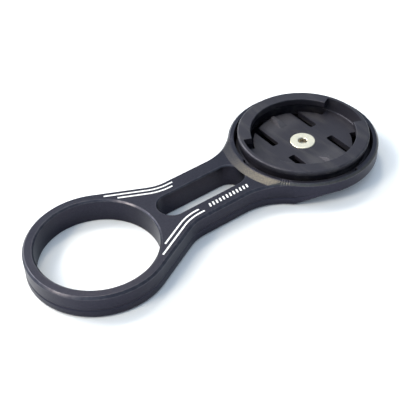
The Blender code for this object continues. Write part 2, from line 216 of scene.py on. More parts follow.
# Linear colours; a pair is the two ends of a mottled surface's range
MILLED_BLACK = ((0.022, 0.022, 0.033), (0.031, 0.030, 0.044))
FACED_BLACK = ((0.023, 0.023, 0.032), (0.032, 0.032, 0.044))
BLACK_SPECK = (0.070, 0.070, 0.090)
WORN_BLACK = (0.105, 0.103, 0.118)
# lighter beige of the milled slope: thinner anodising with painted sheen
THIN_COAT_AND_PAINTED_SHEEN = (0.118, 0.111, 0.093)
NYLON = ((0.006, 0.006, 0.009), (0.012, 0.011, 0.016))
NYLON_STREAK = (0.040, 0.038, 0.037)
# lighter tone of the lip's top edges: rubbing with painted highlight
NYLON_RUB_AND_HIGHLIGHT = (0.050, 0.050, 0.054)
NYLON_SWEPT = (0.046, 0.044, 0.048)
NYLON_SHEEN = (0.88, 0.85, 1.0)
STEEL = ((0.79, 0.73, 0.57), (0.90, 0.83, 0.66))
# darker tone painted into the socket: painted shade
STEEL_SOCKET_SHADE = (0.30, 0.28, 0.24)
ETCHED_WHITE = ((0.70, 0.69, 0.68), (0.92, 0.91, 0.90))
TABLE = ((0.865, 0.870, 0.878), (0.880, 0.884, 0.890))
SKY_DIM = (0.48, 0.57, 0.67)
SKY_BRIGHT = (0.98, 1.15, 1.35)
DAYLIGHT = (1.0, 0.97, 0.93)
LAMPLIGHT = (1.0, 0.89, 0.70)

# Studio: a softbox is (name, direction, size, power, colour)
FLOOR_SIZE = 6.0
FLOOR_GAP = 0.03 * MM           # the table top lies just under the underside
SKY_BRIGHTEST_SIDE = (-0.55, 0.42, 0.72)
LIGHT_DISTANCE = 0.6
SOFTBOXES = (
    ("key", (-0.40, 0.70, 0.64), 0.32, 3.5, DAYLIGHT),
    ("sheen", (0.16, 0.42, 0.89), 0.12, 0.9, LAMPLIGHT),
    ("left", (-0.76, 0.06, 0.64), 0.15, 1.6, LAMPLIGHT),
)
CAMERA_AZIMUTH = math.radians(-34.99)
CAMERA_ELEVATION = math.radians(41.64)
CAMERA_ROLL = math.radians(-2.35)
CAMERA_DISTANCE = 222.86 * MM
CAMERA_TARGET = (-0.889 * MM, 2.985 * MM, 0)
CAMERA_LENS = 81.44

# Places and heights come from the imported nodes
arm_low, arm_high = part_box("mount_arm")
insert_low, insert_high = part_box("twist_lock_insert")
screw_low, screw_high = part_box("centre_screw")
RING_X = arm_low.x + RING_RADIUS
HEAD_X = arm_high.x - CUP_RADIUS
CUP_RIM_HEIGHT = arm_high.z
INSERT_TOP = insert_high.z
SCREW_TOP = screw_high.z
HEAD = Vector((HEAD_X, 0, 0))


# Meshes

def rounded(corners, closed=False):
    """Points of an outline whose corners are (a, b) or, where they are rounded, (a, b, radius).

    Returns (a, b, wear), where wear is 1 on a rounded corner and 0 elsewhere.
    """
    points = []
    count = len(corners)
    for i, corner in enumerate(corners):
        a, b, radius = (*corner, 0)[:3]
        inner = closed or 0 < i < count - 1
        if radius == 0 or not inner:
            points.append((a, b, 0.0))
            continue
        here = Vector((a, b))
        before = (Vector(corners[i - 1][:2]) - here).normalized()
        after = (Vector(corners[(i + 1) % count][:2]) - here).normalized()
        half = before.angle(after) / 2
        centre = here + (before + after).normalized() * (radius / math.sin(half))
        start = here + before * (radius / math.tan(half)) - centre
        sweep = math.pi - 2 * half
        if start.x * after.y - start.y * after.x < 0:
            sweep = -sweep
        for k in range(ROUND_STEPS + 1):
            turned_by = sweep * k / ROUND_STEPS
            cos, sin = math.cos(turned_by), math.sin(turned_by)
            points.append((centre.x + start.x * cos - start.y * sin,
                           centre.y + start.x * sin + start.y * cos, 1.0))
    return points


def new_object(name, data):
    made = bpy.data.objects.new(name, data)
    bpy.context.scene.collection.objects.link(made)
    return made


class Shell:
    """A closed mesh put together from loops of vertices that carry a wear value."""

    def __init__(self):
        self.work = bmesh.new()
        self.wear = self.work.verts.layers.float.new("wear")

    def vertex(self, point, wear=0.0):
        made = self.work.verts.new(point)
        made[self.wear] = wear
        return made

    def loop(self, points, wear=0.0, like=None):
        """Loop of vertices; where a point is also in the like loop, that vertex is used."""
        made = []
        for i, point in enumerate(points):
            shared = like is not None and (like[i].co - Vector(point)).length < SAME_POINT
            made.append(like[i] if shared else self.vertex(point, wear))
        return made

    def face(self, corners):
        kept = []
        for corner in corners:
            if corner not in kept:
                kept.append(corner)
        if len(kept) > 2:
            self.work.faces.new(kept)

    def bridge(self, lower, upper, closed=True):
        count = len(lower)
        for i in range(count if closed else count - 1):
            j = (i + 1) % count
            self.face([lower[i], lower[j], upper[j], upper[i]])

    def skin(self, loops, closed=True):
        """Faces between each loop and the next."""
        for lower, upper in zip(loops, loops[1:]):
            self.bridge(lower, upper, closed)

    def fill(self, *loops):
        """Flat area bounded by the first loop, with the others as holes."""
        edges = []
        for loop in loops:
            loop = [vertex for i, vertex in enumerate(loop)
                    if (vertex.co - loop[i - 1].co).length > SAME_POINT]
            for i, vertex in enumerate(loop):
                after = loop[(i + 1) % len(loop)]
                edge = self.work.edges.get((vertex, after))
                edges.append(edge or self.work.edges.new((vertex, after)))
        bmesh.ops.triangle_fill(self.work, use_beauty=True, use_dissolve=False, edges=edges)

    def make(self, name):
        mesh = bpy.data.meshes.new(name)
        bmesh.ops.remove_doubles(self.work, verts=self.work.verts, dist=MERGE)
        bmesh.ops.recalc_face_normals(self.work, faces=self.work.faces)
        self.work.to_mesh(mesh)
        self.work.free()
        return new_object(name, mesh)


def at_height(plan, z):
    return [(x, y, z) for x, y in plan]


def stack(name, loops):
    """Closed solid through loops of equally many points, with flat ends."""
    shell = Shell()
    made = [shell.loop(loop) for loop in loops]
    shell.work.faces.new(made[0])
    shell.work.faces.new(made[-1])
    shell.skin(made)
    return shell.make(name)


def turned(name, profile, steps=CIRCLE_STEPS):
    """Solid turned about the cup's axis from a closed outline of (radius, height, wear)."""
    shell = Shell()
    rows = []
    for radius, height, wear in profile:
        if radius == 0:
            rows.append([shell.vertex((HEAD_X, 0, height), wear)] * steps)
            continue
        angles = [TURN * (i + GRID_SHIFT) / steps for i in range(steps)]
        rows.append(shell.loop([(HEAD_X + radius * math.cos(a), radius * math.sin(a), height)
                                for a in angles], wear))
    for i, row in enumerate(rows):
        after = rows[(i + 1) % len(rows)]
        if profile[i][0] == 0 and profile[(i + 1) % len(rows)][0] == 0:
            continue
        shell.bridge(row, after)
    return shell.make(name)


def about_cup(turn):
    """Placement at the cup's axis, turned by an angle."""
    return Matrix.Translation(HEAD) @ Matrix.Rotation(turn, 4, "Z")


def prism(name, plan, z_range, turn):
    """Solid over a plan that is turned about the cup's axis."""
    spin = about_cup(turn)
    return stack(name, [[spin @ Vector(point) for point in at_height(plan, z)]
                        for z in z_range])


def sector(name, inner, outer, low, high, start, end):
    """Block between two radii and two angles; outer is (at low, at high)."""
    steps = max(2, round((end - start) / TURN * CIRCLE_STEPS))
    angles = [start + (end - start) * i / steps for i in range(steps + 1)]
    loops = []
    for outside, z in ((outer[0], low), (outer[1], high)):
        loop = [(HEAD_X + outside * math.cos(a), outside * math.sin(a), z) for a in angles]
        loop += [(HEAD_X + inner * math.cos(a), inner * math.sin(a), z) for a in reversed(angles)]
        loops.append(loop)
    return stack(name, loops)


def combine(piece, others, operation):
    """Cut helpers out of a piece, or join them on, one by one, and keep the result as its mesh.

    The solver merges points by an absolute distance, so the work is done in millimetres.
    """
    enlarge = Matrix.Scale(1 / MM, 4)
    piece.data.transform(enlarge)
    for other in others:
        other.data.transform(enlarge)
        modifier = piece.modifiers.new(other.name, "BOOLEAN")
        modifier.operation = operation
        modifier.solver = "EXACT"
        modifier.object = other
        bake_modifiers(piece)
        bpy.data.objects.remove(other)
        weld(piece)
    piece.data.transform(enlarge.inverted())


def weld(piece):
    """Closes hairline splits that a cut has left."""
    work = bmesh.new()
    work.from_mesh(piece.data)
    bmesh.ops.remove_doubles(work, verts=work.verts, dist=WELD)
    bmesh.ops.dissolve_degenerate(work, edges=work.edges, dist=WELD)
    work.to_mesh(piece.data)
    work.free()


def bake_modifiers(piece):
    bpy.context.view_layer.update()
    evaluated = piece.evaluated_get(bpy.context.evaluated_depsgraph_get())
    mesh = bpy.data.meshes.new_from_object(evaluated)
    piece.modifiers.clear()
    old = piece.data
    piece.data = mesh
    bpy.data.meshes.remove(old)
    mesh.name = piece.name


def soften(piece, width, keep_sharp):
    """Rounds sharp edges, apart from those for which keep_sharp(start, end) is true."""
    mesh = piece.data
    weights = mesh.attributes.new("bevel_weight_edge", "FLOAT", "EDGE")
    work = bmesh.new()
    work.from_mesh(mesh)
    work.edges.ensure_lookup_table()
    sharp = []
    for edge in work.edges:
        start, end = (vertex.co for vertex in edge.verts)
        steep = edge.is_manifold and edge.calc_face_angle() > SOFTEN_ANGLE
        sharp.append(1.0 if steep and not keep_sharp(start, end) else 0.0)
    work.free()
    weights.data.foreach_set("value", sharp)
    modifier = piece.modifiers.new("soften", "BEVEL")
    modifier.width = width
    modifier.segments = 2
    modifier.limit_method = "WEIGHT"
    modifier.use_clamp_overlap = True
    modifier.loop_slide = False
    bake_modifiers(piece)


def on_root_line(start, end):
    """True for an edge along a tongue's root, where the tongue goes on without a step."""
    return all(abs(abs(point.y) - TONGUE_ROOT) < 0.01 * MM for point in (start, end))


def keep_level_faces_flat(piece):
    """Marks the borders of level faces sharp, so that large flat areas shade evenly."""
    work = bmesh.new()
    work.from_mesh(piece.data)
    for edge in work.edges:
        level = {abs(face.normal.z) > 0.99999 for face in edge.link_faces}
        if len(level) == 2:
            edge.smooth = False
    work.to_mesh(piece.data)
    work.free()


def join(piece, other):
    """Adds another object's mesh to a piece and deletes the other object."""
    work = bmesh.new()
    work.from_mesh(piece.data)
    work.from_mesh(other.data)
    work.to_mesh(piece.data)
    work.free()
    bpy.data.objects.remove(other)


def finish_piece(piece, material, body, cad_node):
    """Shading, material, and the body and CAD node that a piece belongs to."""
    piece.data.materials.clear()
    piece.data.materials.append(material)
    piece.data.shade_smooth()
    piece.data.set_sharp_from_angle(angle=SMOOTH_ANGLE)
    keep_level_faces_flat(piece)
    weighted = piece.modifiers.new("weighted_normals", "WEIGHTED_NORMAL")
    weighted.keep_sharp = True
    weighted.weight = 100
    if body:
        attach(piece, body)
    if cad_node:
        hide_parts(cad_node)


# Arm

def arc(centre, radius, start, end, steps):
    """Points of an arc as (x, y, direction away from the arc's centre)."""
    points = []
    for i in range(steps + 1):
        angle = start + (end - start) * i / steps
        away = (math.cos(angle), math.sin(angle))
        points.append((centre[0] + radius * away[0], centre[1] + radius * away[1], away))
    return points


def circle(centre_x, radius, steps=CIRCLE_STEPS):
    angles = [TURN * i / steps for i in range(steps)]
    return [(centre_x + radius * math.cos(a), radius * math.sin(a)) for a in angles]


def flare_centre():
    """Centre of the fillet between the ring's flare and the arm's straight flank."""
    y = ARM_HALF_WIDTH + FLARE_FILLET
    x = (RING_RADIUS + FLARE_FILLET - y * math.cos(FLARE_ANGLE)) / math.sin(FLARE_ANGLE)
    return RING_X + x, y


def arm_half_outline():
    """Half of the arm's plan, from behind the ring to the cup's far side.

    Each point is (x, y, outward direction, share of the cup's deep lower chamfer).  The second
    result is the range of points along the fillet on which the top rises to the cup's rim.
    """
    step = TURN / CIRCLE_STEPS
    ring_end = QUARTER_TURN - FLARE_ANGLE
    ring = arc((RING_X, 0), RING_RADIUS, math.pi, ring_end, round((math.pi - ring_end) / step))
    flare = arc(flare_centre(), FLARE_FILLET, -QUARTER_TURN - FLARE_ANGLE, -QUARTER_TURN,
                FLARE_STEPS)

    fillet_y = ARM_HALF_WIDTH + HEAD_FILLET
    reach = CUP_RADIUS + HEAD_FILLET
    fillet_x = math.sqrt(reach ** 2 - fillet_y ** 2)
    fillet_centre = (HEAD_X - fillet_x, fillet_y)
    meet = -math.atan2(fillet_y, fillet_x)
    edge = HEAD_FILLET + TOP_INSET
    rise = math.acos((reach ** 2 + edge ** 2 - SLOPE_BASE_RADIUS ** 2) / (2 * reach * edge))
    fillet = arc(fillet_centre, HEAD_FILLET, -QUARTER_TURN, meet - rise, FILLET_STEPS)
    slope = arc(fillet_centre, HEAD_FILLET, meet - rise, meet, SLOPE_STEPS)
    head = arc((HEAD_X, 0), CUP_RADIUS, math.pi + meet, 0, round((math.pi + meet) / step))

    outline = [(x, y, away, 0) for x, y, away in ring]
    concave = flare + fillet[:-1] + slope[:-1]
    outline += [(x, y, (-away[0], -away[1]), 0) for x, y, away in concave]
    rising = (len(outline) - len(slope) + 1, len(outline))
    for i, (x, y, away) in enumerate(head):
        turned_by = (math.pi + meet) * i / (len(head) - 1)
        deepened = min(turned_by / CHAMFER_RUN_IN, 1)
        outline.append((x, y, away, math.sin(QUARTER_TURN * deepened)))
    return outline, rising


def rim_slope(x, y):
    """Height of the top face: level on the arm, sloping up to the cup's rim."""
    distance = math.hypot(x - HEAD_X, y)
    rim_radius = CUP_RADIUS - TOP_INSET
    share = (SLOPE_BASE_RADIUS - distance) / (SLOPE_BASE_RADIUS - rim_radius)
    share = min(max(share, 0), 1)
    return RING_HEIGHT + (CUP_RIM_HEIGHT - RING_HEIGHT) * share


def scallop(x, y):
    """Depth of the cutter's scallops, which lie side by side at both ends of the slope."""
    angle = math.pi - abs(math.atan2(y, x - HEAD_X))
    from_middle = abs(angle - SCALLOP_MIDDLE) / SCALLOP_HALF_SPAN
    if from_middle >= 1:
        return 0.0
    fade = (1 - from_middle ** 4) ** 2
    return SCALLOP_DEPTH * fade * math.sin(math.pi * angle * CUP_RADIUS / SCALLOP_PITCH) ** 2


def chamfer(face, upward, width, radius, guard):
    """Corners of a rounded chamfer as (inset, height), from a level face to the wall.

    The wall lies above the face where upward is 1, and below it where upward is -1.
    """
    return [
        (width + guard, face),
        (width, face, radius),
        (0, face + upward * width, radius),
        (0, face + upward * (width + GUARD)),
    ]


def edge_levels(bottom, top, cup):
    """Section of the arm's outer edge as (inset, height, wear), from the underside up.

    The witness line fades out where the cup's deep lower chamfer takes its place.
    """
    line = bottom + (WITNESS_HEIGHT - BOTTOM_CHAMFER) * (1 - WITNESS_CUP_DROP * cup)
    depth = WITNESS_DEPTH * (1 - cup)
    witness = []
    for k in range(-WITNESS_STEPS, WITNESS_STEPS + 1):
        share = k / WITNESS_STEPS
        witness.append((depth * (1 - share * share) ** 2, line + WITNESS_HALF * share, 0))
    low = rounded(chamfer(0, 1, bottom, EDGE_ROUND, GUARD))
    high = rounded(chamfer(top, -1, TOP_CHAMFER, EDGE_ROUND, TOP_GUARD)[::-1])
    return low + witness + high


def arm_wall(shell):
    """Outer wall as levels from the underside up, and the range on which its top rises."""
    half, rising = arm_half_outline()
    mirrored = [(x, -y, (away[0], -away[1]), cup) for x, y, away, cup in reversed(half[1:-1])]
    sections = []
    for x, y, away, cup in half + mirrored:
        bottom = BOTTOM_CHAMFER + (CUP_BOTTOM_CHAMFER - BOTTOM_CHAMFER) * cup
        top = rim_slope(x - away[0] * TOP_INSET, y - away[1] * TOP_INSET)
        section = []
        for inset, z, wear in edge_levels(bottom, top, cup):
            px, py = x - away[0] * inset, y - away[1] * inset
            if z > top - TOP_CHAMFER - GUARD / 2:
                z -= scallop(px, py)
            section.append(((px, py, z), wear))
        sections.append(section)
    levels = [[shell.vertex(*section[k]) for section in sections]
              for k in range(len(sections[0]))]
    shell.skin(levels)
    return levels, rising


def arm_slope(shell, edge, rise_start, rise_end):
    """Slope up to the cup's rim, as rows across the arm; gives its lowest and highest rows."""
    rows = []
    for i in range(rise_start, rise_end + 1):
        x, y = edge[i].co.xy
        z = rim_slope(x, y)
        radius = math.hypot(x - HEAD_X, y)
        side = math.atan2(y, x - HEAD_X)
        sweep = TURN - 2 * side
        reach = SCALLOP_REACH / radius
        angles = [reach * k / SLOPE_END_COLUMNS for k in range(1, SLOPE_END_COLUMNS + 1)]
        angles += [reach + (sweep - 2 * reach) * k / SLOPE_MIDDLE_COLUMNS
                   for k in range(1, SLOPE_MIDDLE_COLUMNS)]
        angles += [sweep - a for a in reversed(angles[:SLOPE_END_COLUMNS])]
        row = [edge[i]]
        for a in angles:
            px = HEAD_X + radius * math.cos(side + a)
            py = radius * math.sin(side + a)
            row.append(shell.vertex((px, py, z - scallop(px, py))))
        row.append(edge[len(edge) - i])
        rows.append(row)
    shell.skin(rows, closed=False)
    return rows[0], rows[-1]


def slot_outline(grow):
    """Round-ended slot along the arm, widened all round by grow."""
    radius = SLOT_HALF_WIDTH + grow
    steps = CIRCLE_STEPS // 4
    near = (RING_X + SLOT_START + SLOT_HALF_WIDTH, 0)
    far = (RING_X + SLOT_END - SLOT_HALF_WIDTH, 0)
    points = arc(far, radius, -QUARTER_TURN, QUARTER_TURN, steps)
    points += arc(near, radius, QUARTER_TURN, 3 * QUARTER_TURN, steps)
    return [(x, y) for x, y, away in points]


def hole_wall(shell, plan, low_chamfer, high_chamfer, high):
    """Wall of a through hole from the underside up; plan(grow) is its outline, widened."""
    radius = HOLE_ROUND_SHARE * min(low_chamfer, high_chamfer)
    section = rounded(chamfer(0, 1, low_chamfer, radius, GUARD)
                      + chamfer(high, -1, high_chamfer, radius, GUARD)[::-1])
    levels = [shell.loop(at_height(plan(grow), z), wear) for grow, z, wear in section]
    shell.skin(levels)
    return levels


def key_pocket(radius, grow):
    """Outline of the key pocket on the +X side of a cavity of this radius."""
    half = KEY_WIDTH / 2 + grow
    corner_x = KEY_RADIUS + min(grow, KEY_GROWTH_LIMIT) - KEY_CORNER
    side = [(math.sqrt(radius ** 2 - half ** 2), -half)]
    for k in range(ROUND_STEPS + 1):
        angle = QUARTER_TURN * (k / ROUND_STEPS - 1)
        side.append((corner_x + KEY_CORNER * math.cos(angle),
                     KEY_CORNER - half + KEY_CORNER * math.sin(angle)))
    return side + [(x, -y) for x, y in reversed(side)]


def cavity_outline(grow, pockets):
    """The cup's cavity, with its four key pockets or, with as many points, without them."""
    radius = CAVITY_RADIUS + grow
    pocket = key_pocket(radius, grow)
    edge = math.atan2(pocket[-1][1], pocket[-1][0])
    if not pockets:
        spread = [math.atan2(y, x) for x, y in pocket[1:-1]]
        on_wall = [edge * a / max(spread) for a in spread]
        pocket[1:-1] = [(radius * math.cos(a), radius * math.sin(a)) for a in on_wall]
    steps = CIRCLE_STEPS // 4 - 4
    wall = []
    for k in range(1, steps):
        angle = edge + (QUARTER_TURN - 2 * edge) * k / steps
        wall.append((radius * math.cos(angle), radius * math.sin(angle)))
    points = []
    for quarter in range(4):
        turn = Matrix.Rotation(quarter * QUARTER_TURN, 2)
        points += [turn @ Vector(point) for point in pocket + wall]
    return [(HEAD_X + point.x, point.y) for point in points]


def cup_cavity(shell):
    """Wall of the cup's cavity from its floor up; the key pockets start part of the way up."""
    rim = chamfer(CUP_RIM_HEIGHT, -1, CAVITY_CHAMFER, CAVITY_ROUND, CAVITY_GUARD)
    section = rounded([(0, KEY_FLOOR)] + rim[::-1])
    levels = [shell.loop(at_height(cavity_outline(grow, True), z), wear)
              for grow, z, wear in section]
    plain = cavity_outline(0, False)
    levels.insert(0, shell.loop(at_height(plain, KEY_FLOOR), like=levels[0]))
    levels.insert(0, shell.loop(at_height(plain, CUP_FLOOR)))
    shell.skin(levels)
    return levels


def build_arm():
    """Ring, arm and cup as one closed shell."""
    shell = Shell()
    wall, (rise_start, rise_end) = arm_wall(shell)
    edge = wall[-1]
    count = len(edge)
    slope_foot, slope_top = arm_slope(shell, edge, rise_start, rise_end)
    bore = hole_wall(shell, lambda grow: circle(RING_X, BORE_RADIUS + grow),
                     BORE_CHAMFER_BOTTOM, BORE_CHAMFER_TOP, RING_HEIGHT)
    slot = hole_wall(shell, slot_outline, SLOT_CHAMFER, SLOT_CHAMFER, RING_HEIGHT)
    hole = hole_wall(shell, lambda grow: circle(HEAD_X, SCREW_HOLE_RADIUS + grow, HOLE_STEPS),
                     CAVITY_CHAMFER, CAVITY_CHAMFER, CUP_FLOOR)
    cavity = cup_cavity(shell)

    arm_edge = edge[count - rise_start:] + edge[:rise_start + 1] + slope_foot[1:-1]
    rim_edge = edge[rise_end:count - rise_end + 1] + slope_top[-2:0:-1]
    shell.fill(arm_edge, bore[-1], slot[-1])
    shell.fill(rim_edge, cavity[-1])
    shell.fill(cavity[0], hole[-1])
    shell.fill(wall[0], bore[0], slot[0], hole[0])
    return shell.make("machined_arm")


# Insert, tongues and screw

def insert_section():
    """Closed section of the moulding: flange, neck, overhanging lip, floor and screw seat."""
    sink_radius = SCREW_HEAD_RADIUS + SCREW_CLEARANCE
    return rounded([
        (FLANGE_RADIUS, INSERT_BASE),
        (FLANGE_RADIUS, FLANGE_TOP, SMALL_ROUND),
        (NECK_RADIUS, FLANGE_TOP + FLANGE_RISE, SMALL_ROUND),
        (NECK_RADIUS, LIP_UNDERSIDE, SMALL_ROUND),
        (LIP_RADIUS, LIP_UNDERSIDE, MOULD_ROUND),
        (LIP_RADIUS, INSERT_TOP, LIP_ROUND),
        (LIP_RADIUS - LIP_ROUND - SMALL_ROUND, INSERT_TOP),
        (MOUTH_RADIUS + MOULD_ROUND + SMALL_ROUND, INSERT_TOP),
        (MOUTH_RADIUS, INSERT_TOP, MOULD_ROUND),
        (MOUTH_RADIUS, LOCK_UNDERSIDE, SMALL_ROUND),
        (LOCK_WALL_RADIUS, LOCK_UNDERSIDE),
        (LOCK_WALL_RADIUS, INSERT_FLOOR, SMALL_ROUND),
        (LOCK_WALL_RADIUS - WALL_GUARD, INSERT_FLOOR),
        (sink_radius + SINK_GUARD, INSERT_FLOOR),
        (sink_radius, INSERT_FLOOR, SMALL_ROUND),
        (SCREW_HOLE_RADIUS, INSERT_FLOOR - (sink_radius - SCREW_HOLE_RADIUS)),
        (SCREW_HOLE_RADIUS, INSERT_BASE),
        (BOSS_RADIUS, INSERT_BASE),
        (BOSS_RADIUS, FLOOR_UNDERSIDE),
        (SKIRT_RADIUS, FLOOR_UNDERSIDE),
        (SKIRT_RADIUS, INSERT_BASE),
    ], closed=True)


def window_cutter(side, turn, low, high):
    """Window around a tongue; its two slots reach a little past the tongue's root."""
    half = TONGUE_HALF_WIDTH + TONGUE_SLOT_WIDTH
    right = rounded([
        (0, TONGUE_ROOT),
        (TONGUE_HALF_WIDTH, TONGUE_ROOT),
        (TONGUE_HALF_WIDTH, TONGUE_SLOT_START, TONGUE_SLOT_CORNER),
        (half, TONGUE_SLOT_START, TONGUE_SLOT_CORNER),
        (half, GAP_INNER_RADIUS + WINDOW_OVERLAP),
    ])[1:]
    plan = [(x, y) for x, y, wear in right]
    plan += [(-x, y) for x, y in reversed(plan)]
    return prism(f"window_{side}", plan, (low, high), turn)


def insert_cutters():
    """Notches in the locking rim, gaps beyond the tongues' tips, and the tongues' windows."""
    cutters = []
    drafted = (LOCK_WALL_RADIUS + NOTCH_CLEARANCE, LOCK_WALL_RADIUS + NOTCH_DRAFT)
    for side, middle in (("front", 0), ("rear", math.pi)):
        cutters.append(sector(f"notch_{side}", MOUTH_RADIUS - 2 * OVERCUT, drafted,
                              INSERT_FLOOR + NOTCH_DRAFT, INSERT_TOP + NOTCH_DRAFT,
                              middle - NOTCH_HALF_ANGLE, middle + NOTCH_HALF_ANGLE))
    above = INSERT_FLOOR + OVERCUT
    for side, turn in (("left", 0), ("right", math.pi)):
        cutters.append(sector(f"gap_{side}", GAP_INNER_RADIUS, (GAP_OUTER_RADIUS,) * 2,
                              FLOOR_UNDERSIDE - OVERCUT, above, turn + NOTCH_HALF_ANGLE,
                              turn + math.pi - NOTCH_HALF_ANGLE))
        cutters.append(window_cutter(side, turn, INSERT_BASE - 2 * OVERCUT, above))
    return cutters


def build_insert():
    """Moulded disc with its locking rims, the tongues' windows and four keys round its flange."""
    insert = turned("moulded_insert", insert_section())
    combine(insert, insert_cutters(), "DIFFERENCE")
    half = KEY_WIDTH / 2 - KEY_CLEARANCE
    root = FLANGE_RADIUS - TAB_OVERLAP
    plan = [(root, -half), (KEY_TAB_RADIUS, -half), (KEY_TAB_RADIUS, half), (root, half)]
    heights = (KEY_FLOOR + KEY_CLEARANCE, FLANGE_TOP + TAB_OVERLAP)
    tabs = [prism(f"key_tab_{i + 1}", plan, heights, i * QUARTER_TURN) for i in range(4)]
    combine(insert, tabs, "UNION")
    soften(insert, SOFTENED, on_root_line)
    return insert


def build_ridge(side, spin):
    """Detent ridge: a wedge that rises along the tongue, with rounded flanks, sunk at its foot."""
    stations = rounded([
        (RIDGE_START, RIDGE_LEAD),
        (RIDGE_FULL, RIDGE_HEIGHT, 4 * RIDGE_ROUND),
        (RIDGE_END, RIDGE_HEIGHT, 2 * RIDGE_ROUND),
        (RIDGE_END, -RIDGE_SINK),
    ])[:-1]
    shell = Shell()
    loops = []
    for y, height, wear in stations:
        share = height / RIDGE_HEIGHT
        top_half = RIDGE_HALF_WIDTH - (RIDGE_HALF_WIDTH - RIDGE_TOP_HALF_WIDTH) * share
        section = rounded([
            (-RIDGE_HALF_WIDTH, -RIDGE_SINK),
            (-RIDGE_HALF_WIDTH, 0, RIDGE_ROUND * share),
            (-top_half, height, RIDGE_ROUND * share),
            (top_half, height, RIDGE_ROUND * share),
            (RIDGE_HALF_WIDTH, 0, RIDGE_ROUND * share),
            (RIDGE_HALF_WIDTH, -RIDGE_SINK),
        ])
        loops.append(shell.loop([spin @ Vector((x, y, INSERT_FLOOR + z))
                                 for x, z, wear in section]))
    shell.skin(loops)
    shell.face(loops[0])
    shell.face(loops[-1])
    return shell.make(f"ridge_{side}")


def tongue_rows():
    """Grid over a tongue, from its straight root; rows bow out more and more to the tip's arc."""
    half = TONGUE_HALF_WIDTH
    side_end = TONGUE_TIP_RADIUS * math.cos(math.asin(half / TONGUE_TIP_RADIUS))
    rows = []
    for i in range(TONGUE_ROWS + 1):
        y = TONGUE_ROOT + (side_end - TONGUE_ROOT) * i / TONGUE_ROWS
        bow = (i / TONGUE_ROWS) ** 3
        row = []
        for k in range(TONGUE_COLUMNS + 1):
            x = half * (2 * k / TONGUE_COLUMNS - 1)
            tip_y = math.sqrt(TONGUE_TIP_RADIUS ** 2 - x * x)
            row.append((x, y + bow * (tip_y - side_end)))
        rows.append(row)
    return rows


def build_tongue(side, turn):
    """Spring tongue as a fine grid, so that it bends smoothly from its root."""
    shell = Shell()
    spin = about_cup(turn)
    rims = []
    for z in (TONGUE_UNDERSIDE, INSERT_FLOOR):
        sheet = [[shell.vertex(spin @ Vector((x, y, z))) for x, y in row]
                 for row in tongue_rows()]
        shell.skin(sheet, closed=False)
        rim = [row[0] for row in sheet] + sheet[-1][1:-1]
        rim += [row[-1] for row in reversed(sheet)] + sheet[0][-2:0:-1]
        rims.append(rim)
    shell.skin(rims)
    tongue = shell.make(f"spring_tongue_{side}")
    soften(tongue, SOFTENED, on_root_line)
    join(tongue, build_ridge(side, spin))
    return tongue


def build_screw():
    """Countersunk machine screw with a hexagon socket."""
    cone_top = SCREW_TOP - SCREW_HEAD_BAND
    cone_bottom = cone_top - (SCREW_HEAD_RADIUS - SCREW_SHANK_RADIUS)
    screw = turned("socket_screw", rounded([
        (0, SCREW_END),
        (SCREW_SHANK_RADIUS - SCREW_END_CHAMFER, SCREW_END),
        (SCREW_SHANK_RADIUS, SCREW_END + SCREW_END_CHAMFER),
        (SCREW_SHANK_RADIUS, cone_bottom, SMALL_ROUND),
        (SCREW_HEAD_RADIUS, cone_top, SMALL_ROUND / 2),
        (SCREW_HEAD_RADIUS, SCREW_TOP, SCREW_HEAD_ROUND),
        (0, SCREW_TOP),
    ]), SCREW_STEPS)
    corner = SOCKET_ACROSS_FLATS / math.sqrt(3)
    bottom = SCREW_TOP - SOCKET_DEPTH
    levels = ((corner * SOCKET_POINT_SHARE, bottom - SOCKET_POINT), (corner, bottom),
              (corner, SCREW_TOP + 2 * OVERCUT))
    socket = stack("socket", [at_height(circle(HEAD_X, radius, 6), z) for radius, z in levels])
    mouth = corner + SMALL_ROUND
    funnel = [at_height(circle(HEAD_X, mouth + z, LEAD_IN_STEPS), SCREW_TOP + z)
              for z in (-SOCKET_LEAD_IN, SOCKET_LEAD_IN)]
    combine(screw, [socket, stack("lead_in", funnel)], "DIFFERENCE")
    return screw


# Accent lines on the arm

def ribbon(shell, path):
    """Flat strip of the accent's width along a path of (x, y) on the arm's top."""
    sides = ([], [])
    for i, (x, y) in enumerate(path):
        before = Vector(path[max(i - 1, 0)])
        after = Vector(path[min(i + 1, len(path) - 1)])
        across = (after - before).normalized().orthogonal() * (LINE_WIDTH / 2)
        sides[0].append((x + across.x, y + across.y))
        sides[1].append((x - across.x, y - across.y))
    plan = sides[0] + sides[1][::-1]
    low = shell.loop(at_height(plan, RING_HEIGHT - LINE_SINK))
    high = shell.loop(at_height(plan, RING_HEIGHT + LINE_RISE))
    shell.bridge(low, high)
    count = len(plan)
    for level in (low, high):
        for i in range(len(path) - 1):
            shell.face([level[i], level[i + 1], level[count - 2 - i], level[count - 1 - i]])


def pin_line(inset, start, run_out):
    """Line that follows the arm's flank at an inset, from along the flare to the straight arm."""
    ring_end = QUARTER_TURN - FLARE_ANGLE
    radius = RING_RADIUS - inset
    foot = Vector((RING_X + radius * math.cos(ring_end), radius * math.sin(ring_end)))
    along = Vector((math.cos(FLARE_ANGLE), -math.sin(FLARE_ANGLE)))
    bend = arc(flare_centre(), FLARE_FILLET + inset, -QUARTER_TURN - FLARE_ANGLE, -QUARTER_TURN,
               PIN_LINE_STEPS)
    path = [tuple(foot + along * start)]
    path += [(x, y) for x, y, away in bend]
    path.append((path[-1][0] + run_out, ARM_HALF_WIDTH - inset))
    return path


def build_accents():
    """Plain pin lines beside the flare, and a row of slanted ticks on the arm's near side."""
    shell = Shell()
    for sign in (1, -1):
        for inset, start, run_out in PIN_LINES:
            ribbon(shell, [(x, y * sign) for x, y in pin_line(inset, start, run_out)])
    for i in range(TICK_COUNT):
        x = RING_X + TICK_START + i * TICK_PITCH
        ribbon(shell, [(x - TICK_SLANT / 2, -TICK_OFFSET - TICK_HEIGHT / 2),
                       (x + TICK_SLANT / 2, -TICK_OFFSET + TICK_HEIGHT / 2)])
    return shell.make("accent_lines")


# Materials

